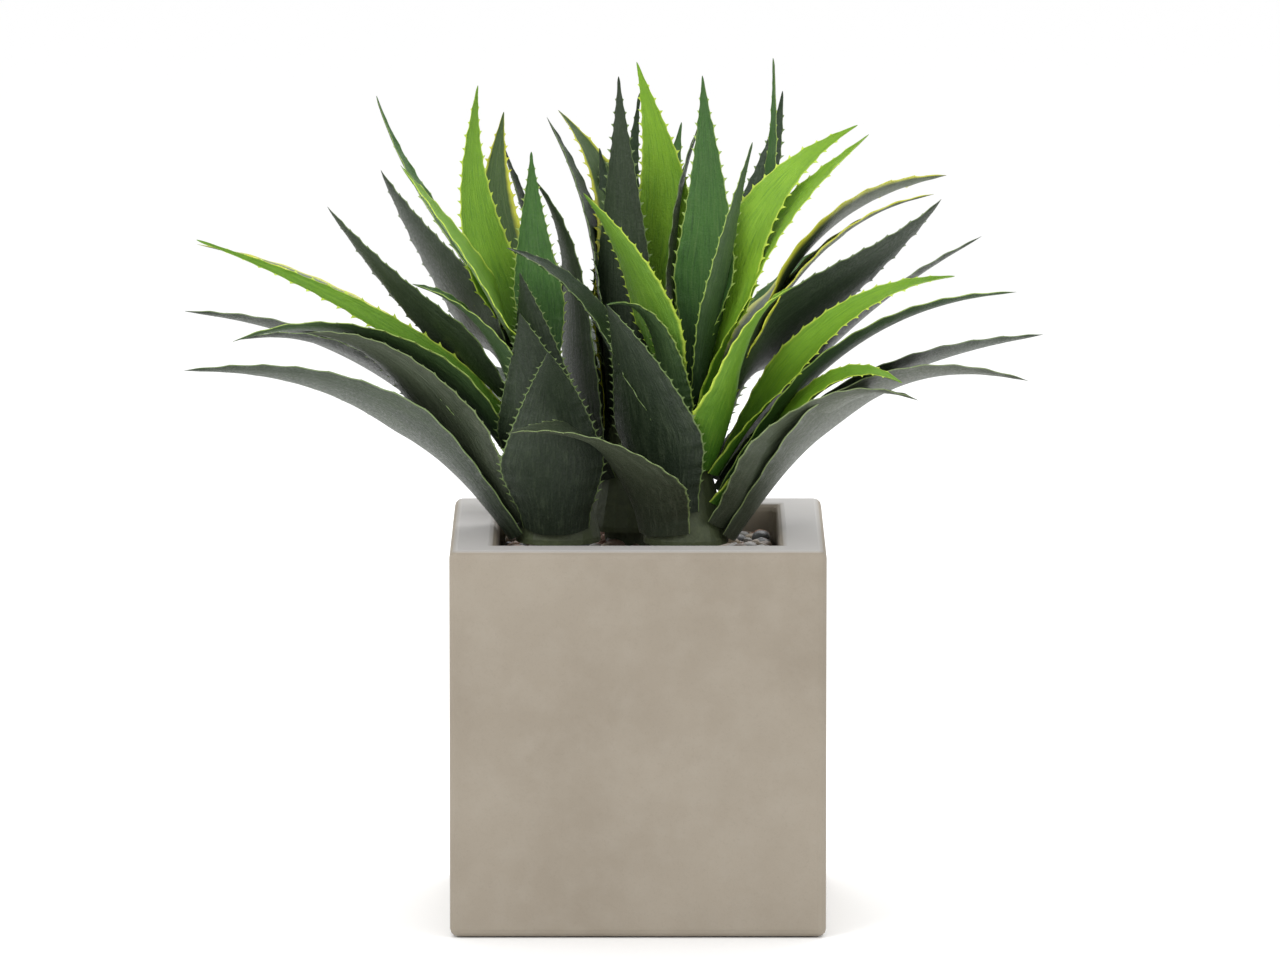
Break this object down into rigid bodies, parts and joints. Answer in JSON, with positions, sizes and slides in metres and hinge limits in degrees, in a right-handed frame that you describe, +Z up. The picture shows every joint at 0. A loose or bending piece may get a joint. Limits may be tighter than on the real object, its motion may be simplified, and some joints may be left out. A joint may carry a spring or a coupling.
{
  "type": "potted aloe",
  "caption": "Potted aloe in a square stone-look planter: clustered rosettes of long, channelled, toothed leaves in dark and lime green rising from a pebble top dressing",
  "frame": {"origin": "centre of the planter's underside, on the surface it stands on", "axes": "+Z up, +X to the right seen from the front, -Y towards the viewer at the planter's front face"},
  "size_m": [0.488, 0.305, 0.481],
  "materials": {
    "pot": "matte warm grey cast stone, faint mottling",
    "soil": "dark growing medium, matte",
    "pebbles": "small mixed pebbles, satin",
    "crown": "green-brown leaf hub, matte",
    "leaf_dark": "dark grey-green leaf, finely striated satin, pale toothed margin",
    "leaf_green": "mid green leaf, finely striated satin, pale toothed margin",
    "leaf_lime": "bright lime leaf, satin, yellow-green toothed margin",
    "leaf_edged": "dark leaf with a wide yellow margin, satin"
  },
  "bodies": {
    "root": {"pot": "pot", "soil": "soil", "pebble_bed": "pebbles", "crown_left": "crown", "crown_right": "crown", "crown_back": "crown", "leaf_left_01": "leaf_dark", "leaf_left_02": "leaf_dark", "leaf_left_03": "leaf_dark", "leaf_left_04": "leaf_dark", "leaf_left_05": "leaf_dark", "leaf_left_06": "leaf_dark", "leaf_left_07": "leaf_green", "leaf_left_08": "leaf_edged", "leaf_left_09": "leaf_lime", "leaf_left_10": "leaf_green", "leaf_left_11": "leaf_dark", "leaf_left_12": "leaf_dark", "leaf_left_13": "leaf_dark", "leaf_left_14": "leaf_lime", "leaf_left_15": "leaf_edged", "leaf_left_16": "leaf_green", "leaf_left_17": "leaf_lime", "leaf_left_18": "leaf_green", "leaf_right_01": "leaf_dark", "leaf_right_02": "leaf_dark", "leaf_right_03": "leaf_dark", "leaf_right_04": "leaf_dark", "leaf_right_05": "leaf_dark", "leaf_right_06": "leaf_lime", "leaf_right_07": "leaf_green", "leaf_right_08": "leaf_dark", "leaf_right_09": "leaf_dark", "leaf_right_10": "leaf_lime", "leaf_right_11": "leaf_lime", "leaf_right_12": "leaf_dark", "leaf_right_13": "leaf_green", "leaf_right_14": "leaf_edged", "leaf_right_15": "leaf_edged", "leaf_right_16": "leaf_lime", "leaf_right_17": "leaf_lime", "leaf_right_18": "leaf_lime", "leaf_right_19": "leaf_dark", "leaf_right_20": "leaf_green", "leaf_right_21": "leaf_green", "leaf_right_22": "leaf_green", "leaf_back_01": "leaf_dark", "leaf_back_02": "leaf_dark", "leaf_back_03": "leaf_dark", "leaf_back_04": "leaf_green", "leaf_back_05": "leaf_dark", "leaf_back_06": "leaf_green", "leaf_back_07": "leaf_dark", "leaf_back_08": "leaf_dark", "leaf_back_09": "leaf_edged", "leaf_back_10": "leaf_dark", "leaf_back_11": "leaf_dark", "leaf_back_12": "leaf_dark", "leaf_back_13": "leaf_dark", "leaf_back_14": "leaf_lime"}
  },
  "joints": []
}
